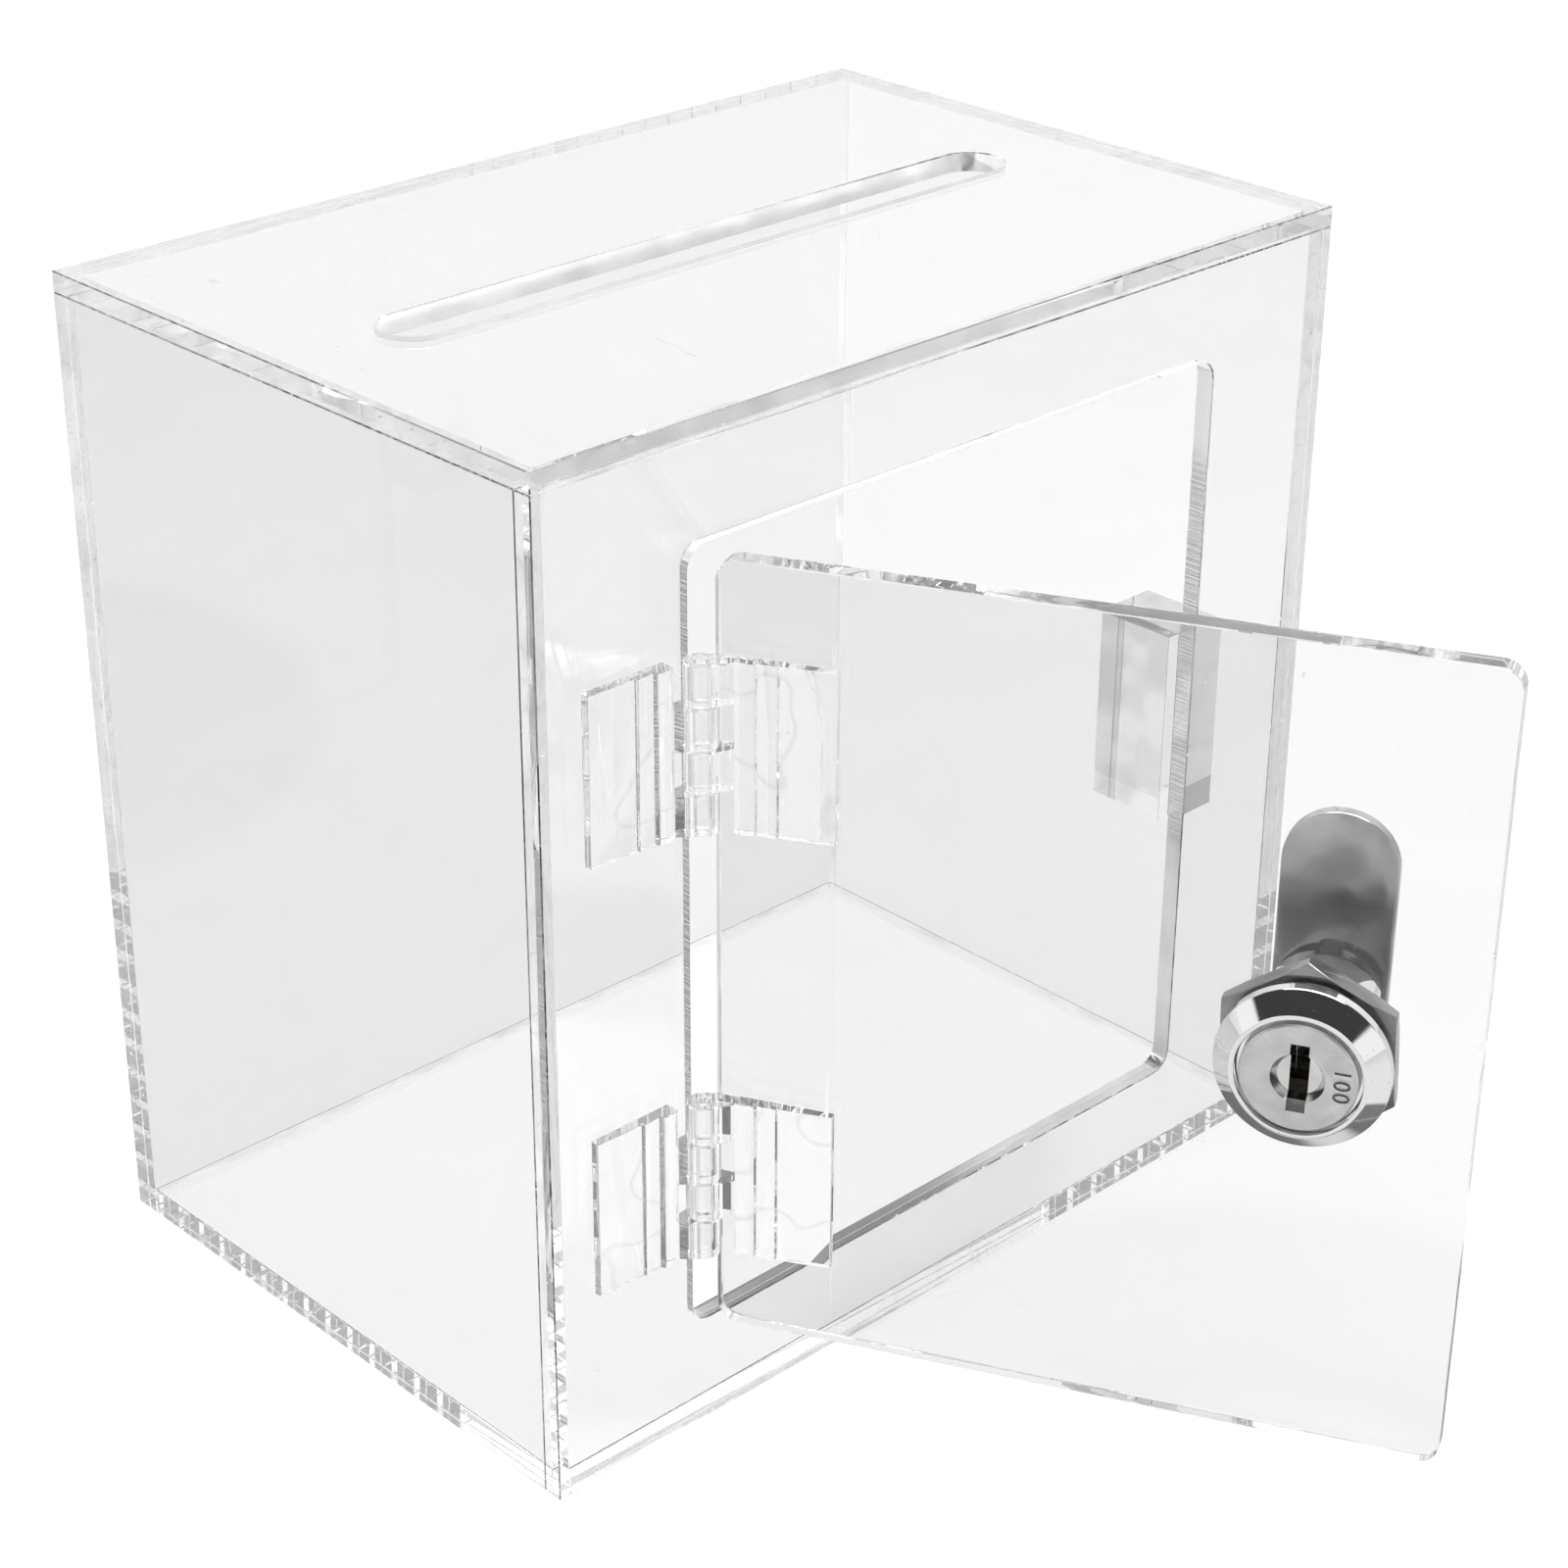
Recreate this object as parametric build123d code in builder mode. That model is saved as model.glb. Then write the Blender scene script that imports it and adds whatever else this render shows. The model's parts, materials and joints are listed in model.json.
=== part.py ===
from build123d import *
import math
import os

# Locking clear-acrylic donation box, millimetres.
# Frame: +Z up, +X to the right and -Y towards the viewer of the front face, with the
# origin in the middle of the box's footprint, on the surface that it stands on.
# The door is modelled open, at the angle at which the hinges rest.

# ---- Box shell ----
BOX_WIDTH = 150.0
BOX_DEPTH = 100.0
BOX_HEIGHT = 150.0
SHEET = 3.0
SLOT_LENGTH = 115.0
SLOT_WIDTH = 10.0
CUTOUT_WIDTH = 100.4
CUTOUT_HEIGHT = 116.0
CORNER_RADIUS = 3.0

FRONT_Y = -BOX_DEPTH / 2
WALL_HEIGHT = BOX_HEIGHT - SHEET
MID_HEIGHT = BOX_HEIGHT / 2
INNER_WIDTH = BOX_WIDTH - 2 * SHEET
INNER_DEPTH = BOX_DEPTH - 2 * SHEET

# ---- Stop block, glued behind the front panel at the cut-out's free edge ----
STOP_LAP = 2.2
STOP_WIDTH = 10.0
STOP_DEPTH = 13.0
STOP_HEIGHT = 30.0

# ---- Hinges ----
LEAF_HEIGHT = 24.0
HINGE_SPREAD = 64.5
KNUCKLE_COUNT = 4
KNUCKLE_RADIUS = 2.3
KNUCKLE_GAP = 0.3
AXIS_STANDOFF = 2.6
AXIS_OUTSET = 0.3
PIN_RADIUS = 1.05
PIN_CLEARANCE = 0.05
PIN_CHAMFER = 0.2
LEAF_REACH = 17.4
ROOT_START = 4.1
INNER_GROOVE = 7.0
OUTER_GROOVE = 9.9
ROOT_THICKNESS = 2.0
RIDGE_THICKNESS = 2.4
BAND_THICKNESS = 1.8
FLANGE_THICKNESS = 1.6
EDGE_THICKNESS = 1.2
GROOVE_HALF_WIDTH = 0.2
GROOVE_DEPTH = 0.4

KNUCKLE_PITCH = LEAF_HEIGHT / KNUCKLE_COUNT
HINGE_HEIGHTS = {"upper": MID_HEIGHT + HINGE_SPREAD / 2, "lower": MID_HEIGHT - HINGE_SPREAD / 2}

# ---- Door ----
DOOR_OPEN_ANGLE = 62.5
DOOR_WIDTH = 99.2
DOOR_HEIGHT = 114.0
DOOR_GAP = (CUTOUT_WIDTH - DOOR_WIDTH) / 2
HINGE_X = -CUTOUT_WIDTH / 2 - AXIS_OUTSET
HINGE_Y = FRONT_Y - AXIS_STANDOFF
DOOR_START = AXIS_OUTSET + DOOR_GAP

# ---- Cam lock; its depths are measured from the door's outer face, outwards positive ----
CUT_MARGIN = 1.0
LOCK_REACH = 78.4
BEZEL_RADIUS = 11.25
BEZEL_RIM = 1.5
BEZEL_HEIGHT = 3.9
LIP_RADIUS = 8.7
FACE_BORE_RADIUS = 8.1
FACE_BORE_FLOOR = 2.3
BARREL_RADIUS = 8.0
BARREL_FLAT = 6.9
BARREL_END = -16.0
BARREL_HOLE_CLEARANCE = 0.15
PLUG_FACE = 4.1
PLUG_HEAD_RADIUS = 7.55
PLUG_HEAD_CHAMFER = 0.25
PLUG_RADIUS = 5.5
PLUG_CLEARANCE = 0.05
PLUG_PLAY = 0.1
WAFER_GROOVE_RADIUS = 6.6
WAFER_GROOVE_WIDTH = 5.4
RECESS_RADIUS = 3.5
RECESS_DEPTH = 1.2
RECESS_SLOPE = 0.7
KEYWAY_WIDTH = 2.4
KEYWAY_FACE_HEIGHT = 9.6
KEYWAY_BODY_HEIGHT = 8.0
KEYWAY_END = -13.5
NUT_ACROSS_FLATS = 22.0
NUT_THICKNESS = 3.0
NUT_CORNER_CUT = 0.7
NUT_TURN = 3.5
WAFER_DEPTHS = [-1.5, -4.0, -6.5, -9.0, -11.5]
WAFER_LIFTS = [0.4, -0.3, 0.1, -0.4, 0.3]
WAFER_THICKNESS = 1.0
WAFER_WIDTH = 5.0
WAFER_CLEARANCE = 0.1
WAFER_WINDOW_WIDTH = 2.6
WAFER_WINDOW_HEIGHT = 7.0
SPRING_OFFSET = 3.3
SPRING_RADIUS = 0.5
SPRING_WIRE_RADIUS = 0.12
SPRING_PITCH = 0.8
SPRING_LENGTH = 3.2
POCKET_WIDTH = 1.6
POCKET_THICKNESS = 1.4
LUG_REACH = 1.2
LUG_THICKNESS = 0.6
TAIL_RADIUS = 4.0
TAIL_FLAT = 3.0
TAIL_SETBACK = 0.1
STOP_WASHER_RADIUS = 6.4
STOP_WASHER_FRONT = -16.3
STOP_WASHER_BACK = -17.1
STOP_TAB_REACH = 7.7
STOP_TAB_ANGLE = 20.0
STOP_TAB_FRONT = -15.0
STOP_TAB_CLEARANCE = 0.3
STOP_RECESS_FLOOR = -14.7
CAM_TRAVEL = 90.0
STOP_MARGIN = 4.0
CAM_WIDTH = 15.0
CAM_REACH = 27.0
CAM_THICKNESS = 2.0
CAM_EDGE_RADIUS = 0.35
SPRING_WASHER_RADIUS = 4.8
SPRING_WASHER_THICKNESS = 0.8
SPRING_WASHER_CLEARANCE = 0.2
SPRING_WASHER_SPLIT = 0.6
SPRING_WASHER_SLANT = 12.0
SCREW_RADIUS = 2.0
SCREW_HEAD_RADIUS = 3.8
SCREW_HEAD_HEIGHT = 2.4
SCREW_HEAD_ROUND = 1.4
SCREW_LENGTH = 6.0
SCREW_TIP_CHAMFER = 0.3
SCREW_CROSS_LENGTH = 3.8
SCREW_CROSS_WIDTH = 0.8
SCREW_CROSS_DEPTH = 1.3

CAM_FRONT = STOP_WASHER_BACK
CAM_BACK = CAM_FRONT - CAM_THICKNESS
TAIL_END = CAM_BACK + TAIL_SETBACK
SPRING_WASHER_BACK = CAM_BACK - SPRING_WASHER_THICKNESS
SCREW_END = SPRING_WASHER_BACK - SCREW_HEAD_HEIGHT

# ---- Directions and planes of the open door ----
OPEN = math.radians(DOOR_OPEN_ANGLE)
ALONG_DOOR = Vector(math.cos(OPEN), -math.sin(OPEN), 0)
OUT_OF_DOOR = Vector(-math.sin(OPEN), -math.cos(OPEN), 0)
HINGE_AXIS = Vector(HINGE_X, HINGE_Y, 0)
LOCK_CENTRE = HINGE_AXIS + ALONG_DOOR * LOCK_REACH - OUT_OF_DOOR * AXIS_STANDOFF + Vector(0, 0, MID_HEIGHT)
DOOR_FACE = Plane(origin=HINGE_AXIS - OUT_OF_DOOR * AXIS_STANDOFF, x_dir=ALONG_DOOR, z_dir=OUT_OF_DOOR)
LOCK_FACE = Plane(origin=LOCK_CENTRE, x_dir=ALONG_DOOR, z_dir=OUT_OF_DOOR)
LOCK_SECTION = Plane(origin=LOCK_CENTRE, x_dir=ALONG_DOOR, z_dir=(0, 0, -1))


def save(piece, label):
    """Name one finished piece and write it as a STEP file."""
    piece.part.label = label
    export_step(piece.part, f"parts/{label}.step")


def sheet_panel(width, height, plane):
    """A rectangular piece of sheet, extruded from the plane through its own thickness."""
    with BuildPart() as panel:
        with BuildSketch(plane):
            Rectangle(width, height)
        extrude(amount=SHEET)
    return panel


def make_top_panel():
    """The lid covers all four walls and carries the round-ended money slot."""
    with BuildPart() as top:
        with BuildSketch(Plane.XY.offset(WALL_HEIGHT)):
            Rectangle(BOX_WIDTH, BOX_DEPTH)
            SlotOverall(SLOT_LENGTH, SLOT_WIDTH, mode=Mode.SUBTRACT)
        extrude(amount=SHEET)
    return top


def make_front_panel():
    """The front wall with the door's round-cornered cut-out."""
    face = Plane(origin=(0, FRONT_Y, 0), x_dir=(1, 0, 0), z_dir=(0, -1, 0))
    with BuildPart() as front:
        with BuildSketch(face):
            with Locations((0, WALL_HEIGHT / 2)):
                Rectangle(BOX_WIDTH, WALL_HEIGHT)
            with Locations((0, MID_HEIGHT)):
                RectangleRounded(CUTOUT_WIDTH, CUTOUT_HEIGHT, CORNER_RADIUS, mode=Mode.SUBTRACT)
        extrude(amount=-SHEET)
    return front


def make_stop_block():
    """A clear bar that laps the cut-out's free edge: the door stops on it, the cam hooks behind."""
    centre_x = CUTOUT_WIDTH / 2 - STOP_LAP + STOP_WIDTH / 2
    inner_face = Plane(origin=(centre_x, FRONT_Y + SHEET, MID_HEIGHT), x_dir=(1, 0, 0), z_dir=(0, 1, 0))
    with BuildPart() as block:
        with BuildSketch(inner_face):
            Rectangle(STOP_WIDTH, STOP_HEIGHT)
        extrude(amount=STOP_DEPTH)
    return block


def plate_section(plane):
    """Section of the glued plate across the hinge axis: root ridge, two grooves and thin flange."""
    base = -AXIS_STANDOFF
    ridge_middle = (ROOT_START + INNER_GROOVE) / 2
    with BuildSketch(plane) as section:
        with BuildLine():
            root_front = Line((ROOT_START, base), (ROOT_START, base + ROOT_THICKNESS))
            ridge = ThreePointArc(
                root_front @ 1,
                (ridge_middle, base + RIDGE_THICKNESS),
                (INNER_GROOVE - GROOVE_HALF_WIDTH, base + ROOT_THICKNESS),
            )
            Polyline(
                ridge @ 1,
                (INNER_GROOVE, base + BAND_THICKNESS - GROOVE_DEPTH),
                (INNER_GROOVE + GROOVE_HALF_WIDTH, base + BAND_THICKNESS),
                (OUTER_GROOVE - GROOVE_HALF_WIDTH, base + BAND_THICKNESS),
                (OUTER_GROOVE, base + FLANGE_THICKNESS - GROOVE_DEPTH),
                (OUTER_GROOVE + GROOVE_HALF_WIDTH, base + FLANGE_THICKNESS),
                (LEAF_REACH, base + EDGE_THICKNESS),
                (LEAF_REACH, base),
                root_front @ 0,
            )
        make_face()
    return section.sketch


def knuckle_section(plane):
    """Section of one knuckle and the web that ties it to the plate's root."""
    base = -AXIS_STANDOFF
    with BuildSketch(plane) as section:
        Circle(KNUCKLE_RADIUS)
        with BuildLine():
            Polyline(
                (0, 0),
                (KNUCKLE_RADIUS / 4, base),
                (ROOT_START, base),
                (ROOT_START, base + ROOT_THICKNESS),
                (KNUCKLE_RADIUS / 2, KNUCKLE_RADIUS * math.sqrt(0.75)),
                close=True,
            )
        make_face()
    return section.sketch


def hinge_leaf(start, bore_radius):
    """One moulded leaf; start is the section plane at the end that carries its first knuckle."""
    with BuildPart() as leaf:
        extrude(plate_section(start), amount=LEAF_HEIGHT)
        for index in range(0, KNUCKLE_COUNT, 2):
            knuckle_start = start.offset(index * KNUCKLE_PITCH + KNUCKLE_GAP / 2)
            extrude(knuckle_section(knuckle_start), amount=KNUCKLE_PITCH - KNUCKLE_GAP)
        with BuildSketch(start):
            Circle(bore_radius)
        extrude(amount=LEAF_HEIGHT, mode=Mode.SUBTRACT)
    return leaf


def make_hinge(name, middle):
    """Two identical leaves face each other on a clear pin, which the box's leaf grips."""
    low = HINGE_AXIS + Vector(0, 0, middle - LEAF_HEIGHT / 2)
    high = HINGE_AXIS + Vector(0, 0, middle + LEAF_HEIGHT / 2)
    box_side = Plane(origin=low, x_dir=(-1, 0, 0), z_dir=(0, 0, 1))
    door_side = Plane(origin=high, x_dir=ALONG_DOOR, z_dir=(0, 0, -1))
    with BuildPart() as pin:
        with BuildSketch(Plane.XY.offset(middle - LEAF_HEIGHT / 2)):
            with Locations((HINGE_X, HINGE_Y)):
                Circle(PIN_RADIUS)
        extrude(amount=LEAF_HEIGHT)
        chamfer(pin.edges().filter_by(GeomType.CIRCLE), length=PIN_CHAMFER)
    save(hinge_leaf(box_side, PIN_RADIUS), f"{name}_frame_leaf")
    save(hinge_leaf(door_side, PIN_RADIUS + PIN_CLEARANCE), f"{name}_door_leaf")
    save(pin, f"{name}_hinge_pin")


def double_d(plane, radius, half_flat):
    """A circle with two opposite flats."""
    with BuildSketch(plane) as section:
        Circle(radius)
        Rectangle(2 * half_flat, 2 * radius, mode=Mode.INTERSECT)
    return section.sketch


def sector(plane, radius, start_angle, span):
    """A pie slice, its angles counted from the plane's x direction."""
    with BuildSketch(plane) as section:
        with BuildLine():
            rim = CenterArc((0, 0), radius, start_angle, span)
            Polyline(rim @ 1, (0, 0), rim @ 0)
        make_face()
    return section.sketch


def make_door_panel():
    """The inset door with the two-flatted hole that keeps the lock from turning."""
    with BuildPart() as door:
        with BuildSketch(DOOR_FACE):
            with Locations((DOOR_START + DOOR_WIDTH / 2, MID_HEIGHT)):
                RectangleRounded(DOOR_WIDTH, DOOR_HEIGHT, CORNER_RADIUS)
        extrude(amount=-SHEET)
        lock_hole = double_d(
            LOCK_FACE, BARREL_RADIUS + BARREL_HOLE_CLEARANCE, BARREL_FLAT + BARREL_HOLE_CLEARANCE
        )
        extrude(lock_hole, amount=-SHEET, mode=Mode.SUBTRACT)
    return door


def make_lock_housing():
    """Bevelled bezel and flatted barrel in one casting, bored for the plug."""
    bore = PLUG_RADIUS + PLUG_CLEARANCE
    recess_start = STOP_TAB_ANGLE / 2 + STOP_MARGIN
    recess_span = CAM_TRAVEL + STOP_TAB_ANGLE + 2 * STOP_MARGIN
    with BuildPart() as housing:
        with BuildSketch(LOCK_SECTION):
            with BuildLine():
                Polyline(
                    (bore, BARREL_END),
                    (BARREL_RADIUS, BARREL_END),
                    (BARREL_RADIUS, 0),
                    (BEZEL_RADIUS, 0),
                    (BEZEL_RADIUS, BEZEL_RIM),
                    (LIP_RADIUS, BEZEL_HEIGHT),
                    (FACE_BORE_RADIUS, BEZEL_HEIGHT),
                    (FACE_BORE_RADIUS, FACE_BORE_FLOOR),
                    (bore, FACE_BORE_FLOOR),
                    close=True,
                )
            make_face()
        revolve(axis=Axis(LOCK_CENTRE, OUT_OF_DOOR))
        with BuildSketch(LOCK_FACE):
            Circle(BARREL_RADIUS + CUT_MARGIN)
            Rectangle(2 * BARREL_FLAT, 2 * (BARREL_RADIUS + CUT_MARGIN), mode=Mode.SUBTRACT)
        extrude(amount=BARREL_END, mode=Mode.SUBTRACT)
        with BuildSketch(LOCK_FACE.offset(KEYWAY_END)):
            Rectangle(WAFER_GROOVE_WIDTH, 2 * WAFER_GROOVE_RADIUS)
        extrude(amount=-KEYWAY_END, mode=Mode.SUBTRACT)
        barrel_end = LOCK_FACE.offset(BARREL_END)
        with BuildSketch(barrel_end):
            Circle(BARREL_RADIUS + CUT_MARGIN)
            Circle(STOP_WASHER_RADIUS, mode=Mode.SUBTRACT)
            slice_start = 90 + recess_start - recess_span
            add(sector(Plane.XY, 2 * BARREL_RADIUS, slice_start, recess_span), mode=Mode.INTERSECT)
        extrude(amount=STOP_RECESS_FLOOR - BARREL_END, mode=Mode.SUBTRACT)
    return housing


def make_lock_nut():
    """Thin hexagon nut that clamps the housing to the door's inner face, corners turned off."""
    corner = NUT_ACROSS_FLATS / math.sqrt(3)
    with BuildPart() as nut:
        with BuildSketch(LOCK_FACE.offset(-SHEET)):
            RegularPolygon(NUT_ACROSS_FLATS / 2, 6, major_radius=False, rotation=30 + NUT_TURN)
            Circle(BARREL_RADIUS, mode=Mode.SUBTRACT)
        extrude(amount=-NUT_THICKNESS)
        with BuildSketch(LOCK_SECTION):
            with BuildLine():
                Polyline(
                    (0, -SHEET),
                    (corner - 2 * NUT_CORNER_CUT, -SHEET),
                    (corner, -SHEET - NUT_CORNER_CUT),
                    (corner, -SHEET - NUT_THICKNESS + NUT_CORNER_CUT),
                    (corner - 2 * NUT_CORNER_CUT, -SHEET - NUT_THICKNESS),
                    (0, -SHEET - NUT_THICKNESS),
                    close=True,
                )
            make_face()
        revolve(axis=Axis(LOCK_CENTRE, OUT_OF_DOOR), mode=Mode.INTERSECT)
    return nut


def make_lock_plug():
    """Turning plug: wide face with a dished key entry, slotted body and flatted tail."""
    face_back = FACE_BORE_FLOOR + PLUG_PLAY
    body_end = STOP_WASHER_FRONT
    with BuildPart() as plug:
        with BuildSketch(LOCK_SECTION):
            with BuildLine():
                Polyline(
                    (0, body_end),
                    (PLUG_RADIUS, body_end),
                    (PLUG_RADIUS, face_back),
                    (PLUG_HEAD_RADIUS, face_back),
                    (PLUG_HEAD_RADIUS, PLUG_FACE - PLUG_HEAD_CHAMFER),
                    (PLUG_HEAD_RADIUS - PLUG_HEAD_CHAMFER, PLUG_FACE),
                    (RECESS_RADIUS, PLUG_FACE),
                    (RECESS_RADIUS - RECESS_SLOPE, PLUG_FACE - RECESS_DEPTH),
                    (0, PLUG_FACE - RECESS_DEPTH),
                    close=True,
                )
            make_face()
        revolve(axis=Axis(LOCK_CENTRE, OUT_OF_DOOR))
        extrude(double_d(LOCK_FACE.offset(body_end), TAIL_RADIUS, TAIL_FLAT), amount=TAIL_END - body_end)
        with BuildSketch(LOCK_FACE.offset(PLUG_FACE)):
            Rectangle(KEYWAY_WIDTH, KEYWAY_FACE_HEIGHT)
        extrude(amount=face_back - PLUG_FACE, mode=Mode.SUBTRACT)
        with BuildSketch(LOCK_FACE.offset(face_back)):
            Rectangle(KEYWAY_WIDTH, KEYWAY_BODY_HEIGHT)
        extrude(amount=KEYWAY_END - face_back, mode=Mode.SUBTRACT)
        for depth in WAFER_DEPTHS:
            with BuildSketch(LOCK_FACE.offset(depth - WAFER_THICKNESS / 2)):
                Rectangle(WAFER_WIDTH, 2 * (PLUG_RADIUS + CUT_MARGIN))
            extrude(amount=WAFER_THICKNESS, mode=Mode.SUBTRACT)
            with BuildSketch(LOCK_FACE.offset(depth - POCKET_THICKNESS / 2)):
                with Locations((SPRING_OFFSET, 0)):
                    Rectangle(POCKET_WIDTH, 2 * SPRING_LENGTH)
            extrude(amount=POCKET_THICKNESS, mode=Mode.SUBTRACT)
        with BuildSketch(LOCK_FACE.offset(TAIL_END)):
            Circle(SCREW_RADIUS)
        extrude(amount=SCREW_LENGTH - (TAIL_END - SPRING_WASHER_BACK), mode=Mode.SUBTRACT)
    return plug


def make_wafers():
    """Five flat tumblers, held level with the plug's wall as the right key holds them."""
    with BuildPart() as wafers:
        for depth, lift in zip(WAFER_DEPTHS, WAFER_LIFTS):
            with BuildSketch(LOCK_FACE.offset(depth - WAFER_THICKNESS / 2)):
                Circle(PLUG_RADIUS - WAFER_CLEARANCE)
                Rectangle(WAFER_WIDTH, 2 * PLUG_RADIUS, mode=Mode.INTERSECT)
                with Locations((WAFER_WIDTH / 2, LUG_THICKNESS / 2)):
                    Rectangle(2 * LUG_REACH, LUG_THICKNESS)
                with Locations((0, lift)):
                    Rectangle(WAFER_WINDOW_WIDTH, WAFER_WINDOW_HEIGHT, mode=Mode.SUBTRACT)
            extrude(amount=WAFER_THICKNESS)
    return wafers


def make_wafer_springs():
    """One small coil spring under each wafer's side lug."""
    with BuildPart() as springs:
        for depth in WAFER_DEPTHS:
            foot = LOCK_CENTRE + ALONG_DOOR * SPRING_OFFSET + OUT_OF_DOOR * depth
            foot = foot - Vector(0, 0, SPRING_LENGTH - SPRING_WIRE_RADIUS)
            with BuildLine(Plane(origin=foot, x_dir=ALONG_DOOR, z_dir=(0, 0, 1))) as coil:
                Helix(SPRING_PITCH, SPRING_LENGTH - 2 * SPRING_WIRE_RADIUS, SPRING_RADIUS)
            with BuildSketch(coil.line ^ 0):
                Circle(SPRING_WIRE_RADIUS)
            sweep(path=coil.line, is_frenet=True)
    return springs


def make_stop_washer():
    """Washer keyed to the plug's tail, whose tab limits the turn to a quarter."""
    with BuildPart() as washer:
        with BuildSketch(LOCK_FACE.offset(STOP_WASHER_BACK)):
            Circle(STOP_WASHER_RADIUS)
            add(sector(Plane.XY, STOP_TAB_REACH, 90 - STOP_TAB_ANGLE / 2, STOP_TAB_ANGLE))
            add(double_d(Plane.XY, TAIL_RADIUS, TAIL_FLAT), mode=Mode.SUBTRACT)
        extrude(amount=STOP_WASHER_FRONT - STOP_WASHER_BACK)
        with BuildSketch(LOCK_FACE.offset(STOP_WASHER_FRONT)):
            add(sector(Plane.XY, STOP_TAB_REACH, 90 - STOP_TAB_ANGLE / 2, STOP_TAB_ANGLE))
            Circle(STOP_WASHER_RADIUS + STOP_TAB_CLEARANCE, mode=Mode.SUBTRACT)
        extrude(amount=STOP_TAB_FRONT - STOP_WASHER_FRONT)
    return washer


def make_lock_cam():
    """Flat round-ended cam that swings behind the stop block."""
    with BuildPart() as cam:
        with BuildSketch(LOCK_FACE.offset(CAM_BACK)):
            with Locations((0, (CAM_REACH - CAM_WIDTH / 2) / 2)):
                SlotOverall(CAM_REACH + CAM_WIDTH / 2, CAM_WIDTH, rotation=90)
        extrude(amount=CAM_THICKNESS)
        fillet(cam.edges().filter_by(Axis(LOCK_CENTRE, OUT_OF_DOOR), reverse=True), CAM_EDGE_RADIUS)
        tail_hole = double_d(LOCK_FACE.offset(CAM_BACK), TAIL_RADIUS, TAIL_FLAT)
        extrude(tail_hole, amount=CAM_THICKNESS, mode=Mode.SUBTRACT)
    return cam


def make_spring_washer():
    """Split ring that keeps the cam's screw tight."""
    with BuildPart() as washer:
        with BuildSketch(LOCK_FACE.offset(SPRING_WASHER_BACK)):
            Circle(SPRING_WASHER_RADIUS)
            Circle(SCREW_RADIUS + SPRING_WASHER_CLEARANCE, mode=Mode.SUBTRACT)
            with Locations((0, -SPRING_WASHER_RADIUS)):
                Rectangle(
                    SPRING_WASHER_SPLIT,
                    2 * SPRING_WASHER_RADIUS,
                    rotation=SPRING_WASHER_SLANT,
                    mode=Mode.SUBTRACT,
                )
        extrude(amount=SPRING_WASHER_THICKNESS)
    return washer


def make_cam_screw():
    """Round-edged cross-head screw that holds the cam on the plug's tail."""
    shank_end = SPRING_WASHER_BACK + SCREW_LENGTH
    with BuildPart() as screw:
        with BuildSketch(LOCK_SECTION):
            with BuildLine():
                shank = Polyline(
                    (SCREW_HEAD_RADIUS - SCREW_HEAD_ROUND, SCREW_END),
                    (0, SCREW_END),
                    (0, shank_end),
                    (SCREW_RADIUS - SCREW_TIP_CHAMFER, shank_end),
                    (SCREW_RADIUS, shank_end - SCREW_TIP_CHAMFER),
                    (SCREW_RADIUS, SPRING_WASHER_BACK),
                    (SCREW_HEAD_RADIUS, SPRING_WASHER_BACK),
                    (SCREW_HEAD_RADIUS, SCREW_END + SCREW_HEAD_ROUND),
                )
                RadiusArc(shank @ 1, shank @ 0, SCREW_HEAD_ROUND)
            make_face()
        revolve(axis=Axis(LOCK_CENTRE, OUT_OF_DOOR))
        with BuildSketch(LOCK_FACE.offset(SCREW_END)):
            Rectangle(SCREW_CROSS_LENGTH, SCREW_CROSS_WIDTH)
            Rectangle(SCREW_CROSS_WIDTH, SCREW_CROSS_LENGTH)
        extrude(amount=SCREW_CROSS_DEPTH, mode=Mode.SUBTRACT)
    return screw


def make_box():
    """The glued shell: front and back cover the sides' edges, the floor sits between the walls."""
    back_face = Plane(origin=(0, BOX_DEPTH / 2, WALL_HEIGHT / 2), x_dir=(-1, 0, 0), z_dir=(0, 1, 0))
    left_face = Plane(origin=(-BOX_WIDTH / 2, 0, WALL_HEIGHT / 2), x_dir=(0, 1, 0), z_dir=(1, 0, 0))
    right_face = Plane(origin=(BOX_WIDTH / 2, 0, WALL_HEIGHT / 2), x_dir=(0, 1, 0), z_dir=(-1, 0, 0))
    save(make_front_panel(), "front_panel")
    save(sheet_panel(BOX_WIDTH, WALL_HEIGHT, back_face.offset(-SHEET)), "back_panel")
    save(sheet_panel(INNER_DEPTH, WALL_HEIGHT, left_face), "left_panel")
    save(sheet_panel(INNER_DEPTH, WALL_HEIGHT, right_face), "right_panel")
    save(make_top_panel(), "top_panel")
    save(sheet_panel(INNER_WIDTH, INNER_DEPTH, Plane.XY), "bottom_panel")
    save(make_stop_block(), "stop_block")


def make_door():
    """The door, its hinges and the fixed half of the lock."""
    for name, middle in HINGE_HEIGHTS.items():
        make_hinge(name, middle)
    save(make_door_panel(), "door_panel")
    save(make_lock_housing(), "lock_housing")
    save(make_lock_nut(), "lock_nut")


def make_lock():
    """Everything that turns with the key."""
    save(make_lock_plug(), "lock_plug")
    save(make_wafers(), "wafer_tumblers")
    save(make_wafer_springs(), "wafer_springs")
    save(make_stop_washer(), "stop_washer")
    save(make_lock_cam(), "lock_cam")
    save(make_spring_washer(), "spring_washer")
    save(make_cam_screw(), "cam_screw")


os.makedirs("parts", exist_ok=True)
make_box()
make_door()
make_lock()
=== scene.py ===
import json
import math

import bmesh
import bpy
from mathutils import Matrix, Vector


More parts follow.
